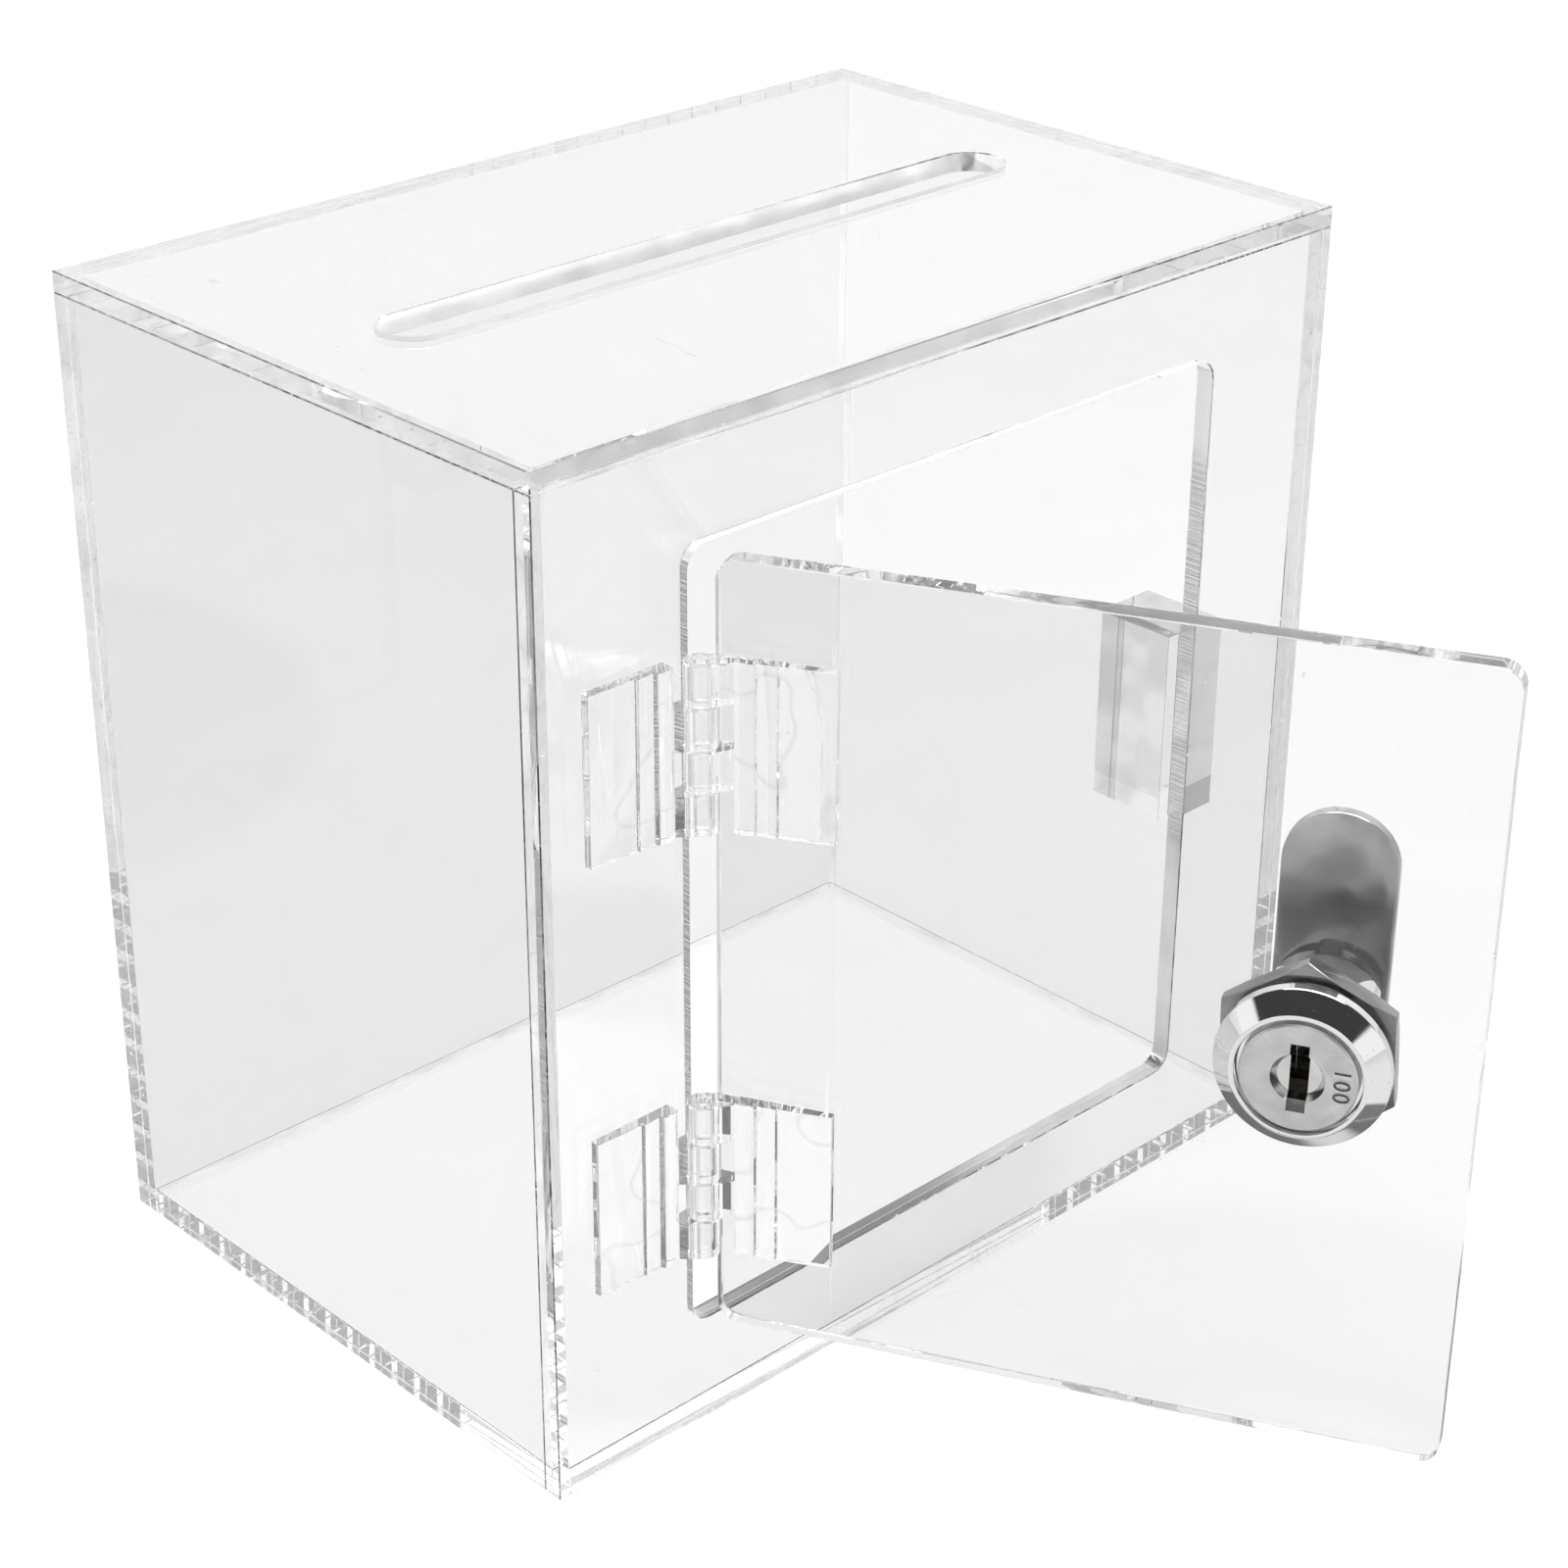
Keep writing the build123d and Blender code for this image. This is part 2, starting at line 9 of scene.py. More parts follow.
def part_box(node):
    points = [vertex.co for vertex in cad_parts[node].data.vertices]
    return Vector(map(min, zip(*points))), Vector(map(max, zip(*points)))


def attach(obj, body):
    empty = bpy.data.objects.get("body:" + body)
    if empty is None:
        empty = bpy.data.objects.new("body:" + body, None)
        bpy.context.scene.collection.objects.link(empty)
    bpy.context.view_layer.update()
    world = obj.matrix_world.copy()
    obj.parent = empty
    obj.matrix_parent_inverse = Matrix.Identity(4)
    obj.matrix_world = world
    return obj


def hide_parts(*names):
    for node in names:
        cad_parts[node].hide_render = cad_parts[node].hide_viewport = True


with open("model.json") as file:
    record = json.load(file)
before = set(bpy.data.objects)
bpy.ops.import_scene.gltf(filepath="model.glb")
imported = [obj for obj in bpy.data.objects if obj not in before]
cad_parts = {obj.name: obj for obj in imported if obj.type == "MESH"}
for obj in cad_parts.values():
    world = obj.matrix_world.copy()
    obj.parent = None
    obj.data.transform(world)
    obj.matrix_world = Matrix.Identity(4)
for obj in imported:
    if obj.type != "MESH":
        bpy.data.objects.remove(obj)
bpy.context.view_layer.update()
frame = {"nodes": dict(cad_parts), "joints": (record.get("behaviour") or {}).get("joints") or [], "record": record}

# Lengths are metres, in the row frame. Every clear piece is one closed solid; where two are
# cemented together, the touching faces let light straight through, as a good solvent joint does.

NODES = frame["nodes"]
RECORD = frame["record"]
JOINTS = {joint["name"]: joint for joint in frame["joints"]}
BODY_OF = {n: body for body, names in RECORD["behaviour"]["bodies"].items() for n in names}
SLOT_OF = {entry["node"]: entry["material_slot"] for entry in RECORD["subparts"]}

MM = 0.001
X, Y, Z = Vector((1, 0, 0)), Vector((0, 1, 0)), Vector((0, 0, 1))
LOCK_CENTRE = Vector(JOINTS["lock_turn"]["pos_m"])
INWARD = Vector(JOINTS["lock_turn"]["axis"]).normalized()
OUTWARD = -INWARD
ALONG_DOOR = Z.cross(OUTWARD).normalized()

# Material indices of a clear piece
FACE, EDGE, CEMENT, SAWN, SATIN = range(5)


def grey(level):
    return (level, level, level)


# ---------------------------------------------------------------- shader helpers

ACRYLIC_IOR = 1.49


class Tree:
    """A material or world node tree under construction."""

    def __init__(self, owner):
        owner.use_nodes = True
        self.tree = owner.node_tree
        self.tree.nodes.clear()

    def add(self, kind, inputs=None, **settings):
        """Adds a node; inputs maps an input's name or index to a value or an output socket."""
        made = self.tree.nodes.new("ShaderNode" + kind)
        for key, value in settings.items():
            setattr(made, key, value)
        for key, value in (inputs or {}).items():
            if isinstance(value, bpy.types.NodeSocket):
                self.tree.links.new(value, made.inputs[key])
            else:
                made.inputs[key].default_value = value
        return made

    def math(self, operation, first, second=None):
        inputs = {0: first} if second is None else {0: first, 1: second}
        return self.add("Math", inputs, operation=operation).outputs[0]

    def ramp(self, factor, low, high, out_low=0.0, out_high=1.0):
        """A smooth step from out_low, at low and below, to out_high, at high and above."""
        return self.add(
            "MapRange",
            {"Value": factor, "From Min": low, "From Max": high, "To Min": out_low, "To Max": out_high},
            interpolation_type="SMOOTHSTEP",
        ).outputs["Result"]

    def position(self):
        return self.add("TexCoord").outputs["Object"]

    def dot(self, vector, direction):
        return self.add("VectorMath", {0: vector, 1: direction}, operation="DOT_PRODUCT").outputs["Value"]

    def distance(self, vector, point):
        offset = self.add("VectorMath", {0: vector, 1: point}, operation="SUBTRACT").outputs["Vector"]
        return self.add("VectorMath", {0: offset}, operation="LENGTH").outputs["Value"]

    def stretch(self, vector, scale):
        return self.add("VectorMath", {0: vector, 1: scale}, operation="MULTIPLY").outputs["Vector"]

    def noise(self, vector, size, detail=2.0, roughness=0.5):
        """Noise whose features are about size metres across."""
        return self.add(
            "TexNoise",
            {"Vector": vector, "Scale": 1 / size, "Detail": detail, "Roughness": roughness},
        ).outputs["Fac"]

    def colour_mix(self, factor, first, second):
        made = self.add("Mix", {"Factor": factor}, data_type="RGBA")
        for index, value in ((6, first), (7, second)):
            if isinstance(value, bpy.types.NodeSocket):
                self.tree.links.new(value, made.inputs[index])
            else:
                made.inputs[index].default_value = (*value, 1.0)
        return made.outputs[2]

    def bump(self, height, depth, normal=None):
        inputs = {"Height": height, "Distance": depth, "Strength": 1.0}
        if normal is not None:
            inputs["Normal"] = normal
        return self.add("Bump", inputs).outputs["Normal"]

    def metal(self, colour, roughness, normal=None):
        inputs = {"Base Color": colour, "Metallic": 1.0, "Roughness": roughness}
        if normal is not None:
            inputs["Normal"] = normal
        return self.add("BsdfPrincipled", inputs).outputs[0]

    def clear_plastic(self, colour, roughness, normal=None):
        inputs = {
            "Base Color": colour,
            "Roughness": roughness,
            "IOR": ACRYLIC_IOR,
            "Transmission Weight": 1.0,
        }
        if normal is not None:
            inputs["Normal"] = normal
        return self.add("BsdfPrincipled", inputs).outputs[0]

    def surface(self, shader):
        self.add("OutputMaterial", {"Surface": shader})

    def lit_through(self, shader, passed):
        """A surface that doesn't block the lamps: shadow and diffuse rays pass, a little dimmed."""
        path = self.add("LightPath")
        lamp_ray = self.math("MAXIMUM", path.outputs["Is Shadow Ray"], path.outputs["Is Diffuse Ray"])
        clear = self.add("BsdfTransparent", {"Color": (*grey(passed), 1.0)}).outputs[0]
        self.surface(self.add("MixShader", {0: lamp_ray, 1: shader, 2: clear}).outputs[0])


def start_material(name):
    """A new material, its empty tree and the position on the piece."""
    made = bpy.data.materials.new(name)
    tree = Tree(made)
    return made, tree, tree.position()


# ---------------------------------------------------------------- clear materials

SCRATCH_TURNS = (0.35, 1.25, 2.3)
SCRATCH_STRETCH = (1.0, 0.035, 0.06)
SCRATCH_SIZE = 4 * MM
SCRATCH_WIDTH = 0.006
SCRATCH_SHARE = 0.31
FACE_PASSES, EDGE_PASSES, MOULDING_PASSES = 0.99, 0.94, 0.95
EDGE_GREY = (0.86, 0.865, 0.865)


def hairline_scratches(tree, place):
    """A mask of sparse, fine, straight scratches in several directions."""
    total = None
    for index, turn in enumerate(SCRATCH_TURNS):
        turned = tree.add("Mapping", {"Vector": place, "Rotation": (turn, turn * 1.7, turn * 0.6)}).outputs[0]
        long_noise = tree.noise(tree.stretch(turned, SCRATCH_STRETCH), SCRATCH_SIZE, detail=1.0)
        off_middle = tree.math("ABSOLUTE", tree.math("SUBTRACT", long_noise, 0.5))
        line = tree.ramp(off_middle, 0.0, SCRATCH_WIDTH, 1.0, 0.0)
        patches = tree.noise(turned, SCRATCH_SIZE * (7 + 2 * index), detail=2.0)
        mark = tree.math("MULTIPLY", line, tree.ramp(patches, 1 - SCRATCH_SHARE, 1.02 - SCRATCH_SHARE))
        total = mark if total is None else tree.math("MAXIMUM", total, mark)
    return total


def sheet_face_material(name, tint_and_painted_shade):
    """Polished faces of cast sheet: clear, with faint hairline scratches and specks of dust. Its grey is partly
    the sheet's own tone and partly painted shade, set per panel after how light falls on it.
    """
    made, tree, place = start_material(name)
    specks = tree.ramp(tree.noise(place, 0.9 * MM, detail=0.0), 0.84, 0.88)
    marks = tree.math("MAXIMUM", hairline_scratches(tree, place), specks)
    haze = tree.ramp(tree.noise(place, 30 * MM, detail=3.0), 0.35, 0.75, 0.0, 0.012)
    rough = tree.math("ADD", haze, tree.math("MULTIPLY", marks, 0.25))
    clear = tree.clear_plastic((*grey(tint_and_painted_shade), 1.0), rough)
    dust = tree.add("BsdfDiffuse", {"Color": (*grey(0.55), 1.0)}).outputs[0]
    dusty = tree.math("MULTIPLY", marks, 0.05)
    tree.lit_through(tree.add("MixShader", {0: dusty, 1: clear, 2: dust}).outputs[0], FACE_PASSES)
    return made


def edge_material(name, smoothest, roughest):
    """Cut edge of the sheet: almost clear, with a slow ripple along it and cloudier stretches."""
    made, tree, place = start_material(name)
    ripple = tree.noise(place, 5 * MM, detail=1.0)
    cloud = tree.ramp(tree.noise(place, 9 * MM, detail=1.0), 0.42, 0.56)
    colour = tree.colour_mix(cloud, (0.76, 0.765, 0.765), (0.96, 0.965, 0.965))
    rough = tree.ramp(ripple, 0.3, 0.7, smoothest, roughest)
    tree.lit_through(tree.clear_plastic(colour, rough, tree.bump(ripple, 0.006 * MM)), EDGE_PASSES)
    return made


def sawn_edge_material():
    """Routed edge of the door opening: fine frosted cutter marks across the thickness."""
    made, tree, place = start_material("sawn_edge")
    along_wall = tree.add("CombineXYZ", {0: tree.dot(place, (1, 0, 1))}).outputs[0]
    marks = tree.noise(along_wall, 0.3 * MM, detail=3.0, roughness=0.7)
    patches = tree.noise(place, 22 * MM, detail=2.0)
    rough = tree.ramp(patches, 0.3, 0.7, 0.06, 0.2)
    clear = tree.clear_plastic((*EDGE_GREY, 1.0), rough, tree.bump(marks, 0.02 * MM))
    frost = tree.add("BsdfDiffuse", {"Color": (*grey(0.12), 1.0)}).outputs[0]
    hinge_side = tree.ramp(tree.dot(place, X), -10 * MM, 10 * MM, 0.7, 0.0)
    depth = tree.math("MAXIMUM", hinge_side, tree.ramp(patches, 0.42, 0.56, 0.08, 0.5))
    frosted = tree.math("MULTIPLY", tree.ramp(marks, 0.38, 0.58), depth)
    tree.lit_through(tree.add("MixShader", {0: frosted, 1: clear, 2: frost}).outputs[0], EDGE_PASSES)
    return made


def cement_material():
    """Solvent joint between two clear pieces: trapped bubbles and the faint rim where it stopped."""
    made, tree, place = start_material("cement_joint")
    cells = tree.add("TexVoronoi", {"Vector": place, "Scale": 1 / (2.4 * MM), "Randomness": 1.0})
    bubble = tree.ramp(cells.outputs["Distance"], 0.05, 0.09, 1.0, 0.0)
    some = tree.ramp(tree.noise(place, 11 * MM, detail=1.0), 0.66, 0.7)
    flow = tree.noise(place, 12 * MM, detail=1.0, roughness=0.4)
    rim = tree.ramp(tree.math("ABSOLUTE", tree.math("SUBTRACT", flow, 0.53)), 0.0, 0.02, 0.95, 1.0)
    rim_colour = tree.add("CombineColor", {0: rim, 1: rim, 2: rim}).outputs[0]
    clear = tree.add("BsdfTransparent", {"Color": rim_colour}).outputs[0]
    gas = tree.add("BsdfGlossy", {"Color": (0.75, 0.76, 0.76, 1.0), "Roughness": 0.2}).outputs[0]
    tree.surface(tree.add("MixShader", {0: tree.math("MULTIPLY", bubble, some), 1: clear, 2: gas}).outputs[0])
    return made


def hinge_material():
    """Clear injection moulding: soft flow ripples and slightly satin skin."""
    made, tree, place = start_material("clear_moulding")
    flow = tree.noise(tree.stretch(place, (1.0, 1.0, 0.35)), 2.2 * MM, detail=2.0)
    rough = tree.ramp(flow, 0.3, 0.8, 0.0, 0.05)
    clear = tree.clear_plastic((0.965, 0.97, 0.97, 1.0), rough, tree.bump(flow, 0.01 * MM))
    tree.lit_through(clear, MOULDING_PASSES)
    return made


# ---------------------------------------------------------------- metal materials

RECESS_RIM = (5.2 * MM, 5.6 * MM)
HUB_SHADE = (22 * MM, 34 * MM)


def chrome_material():
    """Bright plating with a faint haze, tiny pits and fine wiping marks."""
    made, tree, place = start_material("bright_chrome")
    haze = tree.ramp(tree.noise(place, 3 * MM, detail=3.0), 0.35, 0.75, 0.03, 0.1)
    wipes = tree.noise(tree.stretch(place, (1.0, 1.0, 0.06)), 0.25 * MM, detail=2.0)
    pits = tree.ramp(tree.noise(place, 0.35 * MM, detail=1.0), 0.72, 0.78)
    rough = tree.math("ADD", haze, tree.math("MULTIPLY", pits, 0.2))
    colour = tree.colour_mix(pits, (0.86, 0.865, 0.875), grey(0.5))
    tree.surface(tree.metal(colour, rough, tree.bump(wipes, 0.0015 * MM)))
    return made


def nickel_material():
    """Plug: satin nickel, brushed straight across its face, with a brighter key recess."""
    made, tree, place = start_material("satin_nickel")
    across = tree.dot(place, (ALONG_DOOR + Z).normalized())
    lines = tree.noise(tree.add("CombineXYZ", {0: across}).outputs[0], 0.16 * MM, detail=3.0, roughness=0.7)
    cloud = tree.noise(place, 2.5 * MM, detail=3.0)
    on_face = tree.ramp(tree.distance(place, LOCK_CENTRE), *RECESS_RIM)
    dulled = tree.math("ADD", tree.math("MULTIPLY", on_face, 0.6), 0.4)
    brushed = tree.math("ADD", tree.ramp(lines, 0.3, 0.7, 0.33, 0.47), tree.ramp(cloud, 0.3, 0.7, 0.0, 0.06))
    streak = tree.ramp(tree.math("ADD", lines, tree.math("MULTIPLY", cloud, 0.5)), 0.5, 1.0)
    colour = tree.colour_mix(streak, (0.78, 0.78, 0.775), (0.6, 0.6, 0.595))
    rough = tree.math("MULTIPLY", brushed, dulled)
    tree.surface(tree.metal(colour, rough, tree.bump(lines, 0.004 * MM)))
    return made


def plated_steel_material():
    """Bright zinc plate on stamped steel: gently uneven, cloudy, with rolling marks, and painted shade darkening
    it round the hub.
    """
    made, tree, place = start_material("plated_steel")
    hollows = tree.noise(place, 11 * MM, detail=0.0)
    cloud = tree.noise(place, 8 * MM, detail=2.0, roughness=0.4)
    grain = tree.noise(tree.stretch(place, (1.0, 1.0, 0.12)), 0.3 * MM, detail=3.0)
    # Painted shade: near the lock's centre the plate is mixed towards near-black.
    out_of_hub_shade = tree.ramp(tree.distance(place, LOCK_CENTRE), *HUB_SHADE, 0.45, 1.0)
    rough = tree.math("ADD", tree.ramp(cloud, 0.3, 0.7, 0.12, 0.2), tree.math("MULTIPLY", grain, 0.05))
    normal = tree.bump(grain, 0.002 * MM, tree.bump(hollows, 0.35 * MM))
    plate = tree.colour_mix(tree.ramp(cloud, 0.35, 0.65), grey(0.7), grey(0.4))
    tree.surface(tree.metal(tree.colour_mix(out_of_hub_shade, grey(0.1), plate), rough, normal))
    return made


def brass_material():
    """Stamped brass wafers inside the plug: dull, much darker than clean brass, with patchy tarnish."""
    made, tree, place = start_material("wafer_brass")
    tarnish = tree.ramp(tree.noise(place, 1.5 * MM, detail=3.0), 0.4, 0.7)
    colour = tree.colour_mix(tarnish, (0.17, 0.145, 0.1), (0.07, 0.06, 0.04))
    tree.surface(tree.metal(colour, tree.ramp(tarnish, 0.0, 1.0, 0.3, 0.5)))
    return made


def number_material():
    """Floor of the stamped number: painted shade in the recess, made near-black, with some settled grime mottling
    it.
    """
    made, tree, place = start_material("stamped_number")
    dirt_and_shade = tree.ramp(tree.noise(place, 0.4 * MM, detail=3.0), 0.35, 0.65)
    # Painted shade in the recess, partly grime: the floor is near-black with a little mottling.
    colour = tree.colour_mix(dirt_and_shade, grey(0.1), grey(0.2))
    metal = tree.add("BsdfPrincipled", {"Base Color": colour, "Metallic": 0.7, "Roughness": 0.5}).outputs[0]
    tree.surface(metal)
    return made


def spring_steel_material():
    """Drawn and oiled spring wire, dark with fine drawing lines."""
    made, tree, place = start_material("spring_steel")
    lines = tree.noise(place, 0.2 * MM, detail=3.0)
    colour = tree.colour_mix(tree.ramp(lines, 0.35, 0.7), (0.42, 0.42, 0.43), (0.26, 0.26, 0.27))
    tree.surface(tree.metal(colour, tree.ramp(lines, 0.3, 0.7, 0.3, 0.42)))
    return made


POLISHED = edge_material("polished_edge", 0.0, 0.05)
SATIN_EDGE = edge_material("routed_slot_wall", 0.14, 0.24)
SAWN_EDGE = sawn_edge_material()
CEMENTED = cement_material()
MOULDING = hinge_material()
NUMBER = number_material()
METALS = {
    "bright_chrome": chrome_material(),
    "satin_nickel": nickel_material(),
    "plated_steel": plated_steel_material(),
    "wafer_brass": brass_material(),
    "spring_steel": spring_steel_material(),
}


# ---------------------------------------------------------------- mesh helpers

SAME_POINT = 0.002 * MM
SAME_LEVEL = 0.004 * MM
CLEARLY_APART = 0.01 * MM
SHORTEST_EDGE = 0.001 * MM
FINAL_WELD = 0.0015 * MM
SAME_WAY = 0.9999
LARGEST_CURVED_FACET = 30 * MM * MM
FLAT_ANGLE = math.radians(0.4)
SHARP_ANGLE = math.radians(30)
METAL_CORNER_ANGLE = math.radians(35)
SHEET_FACE_TURN = 0.9
SILL_TURN = 0.4
OUTLINE_MARGIN = 0.5 * MM


def cad_shape(node):
    """A CAD node's solid as a welded bmesh whose flat areas are single faces."""
    source = NODES[node].data
    bm = bmesh.new()
    corners = [bm.verts.new(v.co) for v in source.vertices]
    for polygon in source.polygons:
        bm.faces.new([corners[i] for i in polygon.vertices])
    bmesh.ops.remove_doubles(bm, verts=bm.verts, dist=SAME_POINT)
    bmesh.ops.dissolve_degenerate(bm, edges=bm.edges, dist=SHORTEST_EDGE)
    bmesh.ops.dissolve_limit(bm, angle_limit=FLAT_ANGLE, verts=bm.verts, edges=bm.edges)
    bmesh.ops.recalc_face_normals(bm, faces=bm.faces)
    return bm


def faces_in_plane(bm, facing, level):
    """The shape's faces that look along facing and lie level from the origin."""
    return [
        face for face in bm.faces
        if face.normal.dot(facing) > SAME_WAY and abs(face.verts[0].co.dot(facing) - level) < SAME_LEVEL
    ]


def inside_face(face, point):
    """True if a point in the face's plane lies inside its outline."""
    normal = face.normal
    axis = max(range(3), key=lambda i: abs(normal[i]))
    u, v = [i for i in range(3) if i != axis]
    inside = False
    corners = [vert.co for vert in face.verts]
    for first, second in zip(corners, corners[1:] + corners[:1]):
        if (first[v] > point[v]) != (second[v] > point[v]):
            crossing = first[u] + (point[v] - first[v]) / (second[v] - first[v]) * (second[u] - first[u])
            if point[u] < crossing:
                inside = not inside
    return inside


def boxes_overlap(mine, theirs):
    """True if the bounding boxes of two sets of faces in one plane share an area."""
    spans = []
    for faces in (mine, theirs):
        corners = [v.co for f in faces for v in f.verts]
        spans.append([(min(c[i] for c in corners), max(c[i] for c in corners)) for i in range(3)])
    shared = [min(a[1], b[1]) - max(a[0], b[0]) > CLEARLY_APART for a, b in zip(*spans)]
    return sum(shared) >= 2


def touching_planes(first, second, directions):
    """Where two shapes meet, as the direction that the first one faces there and its level."""
    found = []
    for normal in directions:
        for sign in (1, -1):
            facing = normal * sign
            flat = [f for f in first.faces if f.normal.dot(facing) > SAME_WAY]
            for level in {round(f.verts[0].co.dot(facing), 6) for f in flat}:
                mine = faces_in_plane(first, facing, level)
                theirs = faces_in_plane(second, -facing, -level)
                if mine and theirs and boxes_overlap(mine, theirs):
                    found.append((facing, level))
    return found


def cut_along(bm, facing, level, outline, directions):
    """Cuts a shape's faces in one plane at every corner of the other shape's outline."""
    for direction in directions:
        if abs(direction.dot(facing)) > 0.5:
            continue
        for cut in sorted({round(co.dot(direction), 6) for co in outline}):
            spans = [
                f for f in faces_in_plane(bm, facing, level)
                if min(v.co.dot(direction) for v in f.verts) < cut - CLEARLY_APART
                and max(v.co.dot(direction) for v in f.verts) > cut + CLEARLY_APART
            ]
            if spans:
                geometry = list({g for f in spans for g in (*f.verts, *f.edges, f)})
                bmesh.ops.bisect_plane(
                    bm, geom=geometry, dist=SHORTEST_EDGE, plane_co=direction * cut, plane_no=direction
                )


def cement(first, second, directions):
    """Marks where two clear shapes touch, on both, cutting their faces along each other's outline."""
    for facing, level in touching_planes(first, second, directions):
        mine = [v.co.copy() for f in faces_in_plane(first, facing, level) for v in f.verts]
        theirs = [v.co.copy() for f in faces_in_plane(second, -facing, -level) for v in f.verts]
        cut_along(first, facing, level, theirs, directions)
        cut_along(second, -facing, -level, mine, directions)
        near = faces_in_plane(first, facing, level)
        far = faces_in_plane(second, -facing, -level)
        for faces, others in ((near, far), (far, near)):
            for face in faces:
                if any(inside_face(other, face.calc_center_bounds()) for other in others):
                    face.material_index = CEMENT


def mark_edges(bm, thickness, opening):
    """Faces that don't face along the thickness are cut edge, or its opening's upright walls."""
    for face in bm.faces:
        if abs(face.normal.dot(thickness)) > SHEET_FACE_TURN:
            face.material_index = FACE
            continue
        centre = face.calc_center_median()
        outer = any(
            abs(centre[i] - limit(v.co[i] for v in bm.verts)) < OUTLINE_MARGIN
            for i in range(3) for limit in (min, max) if not thickness[i]
        )
        face.material_index = EDGE if outer or abs(face.normal.z) > SILL_TURN else opening


def bevel_sharp(bm, width, material):
    sharp = [e for e in bm.edges if len(e.link_faces) == 2 and e.calc_face_angle(0.0) > SHARP_ANGLE]
    bmesh.ops.bevel(
        bm, geom=sharp, offset=width, offset_type="OFFSET", segments=1,
        profile=0.5, affect="EDGES", clamp_overlap=True, material=material,
    )


def finish_piece(name, bm, materials, node, smooth_angle):
    """Turns the shape into a named piece that stands for its CAD node and rides on its body."""
    bmesh.ops.remove_doubles(bm, verts=bm.verts, dist=FINAL_WELD)
    for face in bm.faces:
        face.smooth = len(face.verts) <= 4 and face.calc_area() < LARGEST_CURVED_FACET
    mesh = bpy.data.meshes.new(name)
    bm.to_mesh(mesh)
    bm.free()
    for material in materials:
        mesh.materials.append(material)
    mesh.set_sharp_from_angle(angle=smooth_angle)
    piece = bpy.data.objects.new(name, mesh)
    bpy.context.scene.collection.objects.link(piece)
    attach(piece, BODY_OF[node])
    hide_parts(node)
    return piece


# ---------------------------------------------------------------- clear pieces

SHEET_SMOOTH, PART_SMOOTH = math.radians(25), math.radians(35)
SHEET_BEVEL = 0.16 * MM
LEAF_BEVEL = 0.08 * MM
PIN_SLIMMING = 0.96

SQUARE = (X, Y, Z)
DOOR_WAYS = (ALONG_DOOR, OUTWARD, Z)
# Each sheet's thickness direction, its grey (partly the sheet's own tone, partly painted shade: lighter or darker
# per panel after how light falls on it) and what the wall of its opening is
SHEETS = {
    "front_panel": (Y, 0.96, SAWN),
    "back_panel": (Y, 0.84, EDGE),
    "left_panel": (X, 0.89, EDGE),
    "right_panel": (X, 0.89, EDGE),
    "top_panel": (Z, 0.9, SATIN),
    "bottom_panel": (Z, 0.96, EDGE),
    "stop_block": (Y, 0.99, EDGE),
    "door_panel": (OUTWARD, 0.85, EDGE),
}
LEAVES = ["upper_frame_leaf", "lower_frame_leaf", "upper_door_leaf", "lower_door_leaf"]
GLUED = [
    ("front_panel", "left_panel"), ("front_panel", "right_panel"),
    ("back_panel", "left_panel"), ("back_panel", "right_panel"),
    ("front_panel", "bottom_panel"), ("back_panel", "bottom_panel"),
    ("left_panel", "bottom_panel"), ("right_panel", "bottom_panel"),
    ("top_panel", "front_panel"), ("top_panel", "back_panel"),
    ("top_panel", "left_panel"), ("top_panel", "right_panel"),
    ("front_panel", "stop_block"),
    ("front_panel", "upper_frame_leaf"), ("front_panel", "lower_frame_leaf"),
]
GLUED_DOOR = [("door_panel", "upper_door_leaf"), ("door_panel", "lower_door_leaf")]

shapes = {name: cad_shape(name) for name in [*SHEETS, *LEAVES]}
for name, (thickness, _, opening) in SHEETS.items():
    mark_edges(shapes[name], thickness, opening)
for name in LEAVES:
    for face in shapes[name].faces:
        face.material_index = FACE
for pairs, directions in ((GLUED, SQUARE), (GLUED_DOOR, DOOR_WAYS)):
    for first, second in pairs:
        cement(shapes[first], shapes[second], directions)

for name, (_, tint_and_painted_shade, _) in SHEETS.items():
    bevel_sharp(shapes[name], SHEET_BEVEL, EDGE)
    looks = [sheet_face_material(name + "_face", tint_and_painted_shade), POLISHED, CEMENTED, SAWN_EDGE, SATIN_EDGE]
    finish_piece(name + "_clear", shapes[name], looks, name, SHEET_SMOOTH)
for name in LEAVES:
    bevel_sharp(shapes[name], LEAF_BEVEL, FACE)
    finish_piece(name + "_clear", shapes[name], [MOULDING, MOULDING, CEMENTED], name, PART_SMOOTH)


def slimmed_pin(node):
    """The hinge's pin, a hair thinner than its bore so that a film of air shows round it."""
    bm = cad_shape(node)
    low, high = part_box(node)
    centre = (low + high) / 2
    for vert in bm.verts:
        vert.co.x = centre.x + (vert.co.x - centre.x) * PIN_SLIMMING
        vert.co.y = centre.y + (vert.co.y - centre.y) * PIN_SLIMMING
    finish_piece(node + "_clear", bm, [MOULDING], node, PART_SMOOTH)


for name in ("upper_hinge_pin", "lower_hinge_pin"):
    slimmed_pin(name)


# ---------------------------------------------------------------- lock

# The back of the door's sheet, measured outward from its front
SHEET_BACK = -3 * MM
CLEAR_OF_SHEET = 0.03 * MM
NUMBER_TEXT = "100"
NUMBER_HEIGHT = 2.1 * MM
NUMBER_DEPTH = 0.12 * MM
NUMBER_OFFSET = 5.4 * MM
# A figure's height as a share of the font's size
CAPITAL_SHARE = 0.7
PLUG_FACE = max((v.co - LOCK_CENTRE).dot(OUTWARD) for v in NODES["lock_plug"].data.vertices)


def freeze(piece):
    """Applies a piece's modifiers."""
    graph = bpy.context.evaluated_depsgraph_get()
    mesh = bpy.data.meshes.new_from_object(piece.evaluated_get(graph))
    piece.modifiers.clear()
    piece.data = mesh


